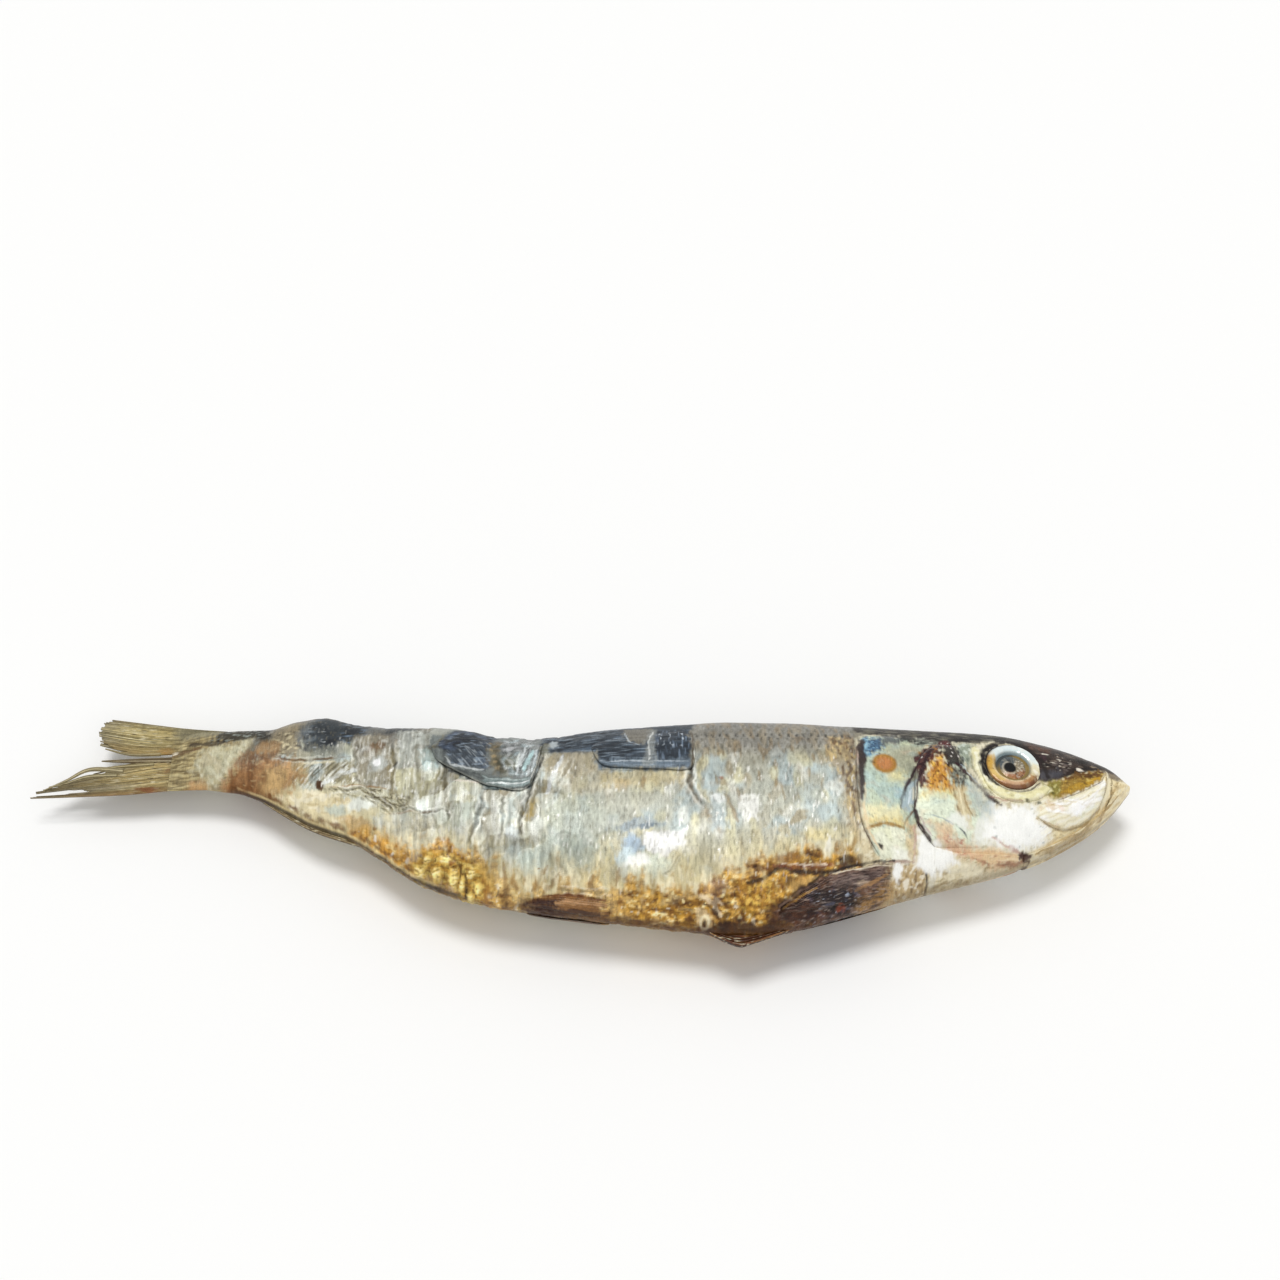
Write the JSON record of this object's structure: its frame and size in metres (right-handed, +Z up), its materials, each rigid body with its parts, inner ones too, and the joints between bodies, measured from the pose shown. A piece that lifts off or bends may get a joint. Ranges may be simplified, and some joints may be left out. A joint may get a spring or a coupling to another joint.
{
  "type": "dried sardine",
  "caption": "Whole dried sardine lying on its left flank, with head, gill cover, folded fins and a frayed forked tail.",
  "frame": {"origin": "middle of the fish's outline seen from above, on the surface that it lies on", "axes": "+X from the tail to the jaw, +Y towards the back, +Z up out of the shown right flank"},
  "size_m": [0.183, 0.045, 0.0184],
  "materials": {
    "dried_skin": "silvery dried fish skin, slightly oily, golden to brown along the belly"
  },
  "bodies": {
    "root": {"sardine": "dried_skin"}
  },
  "joints": []
}
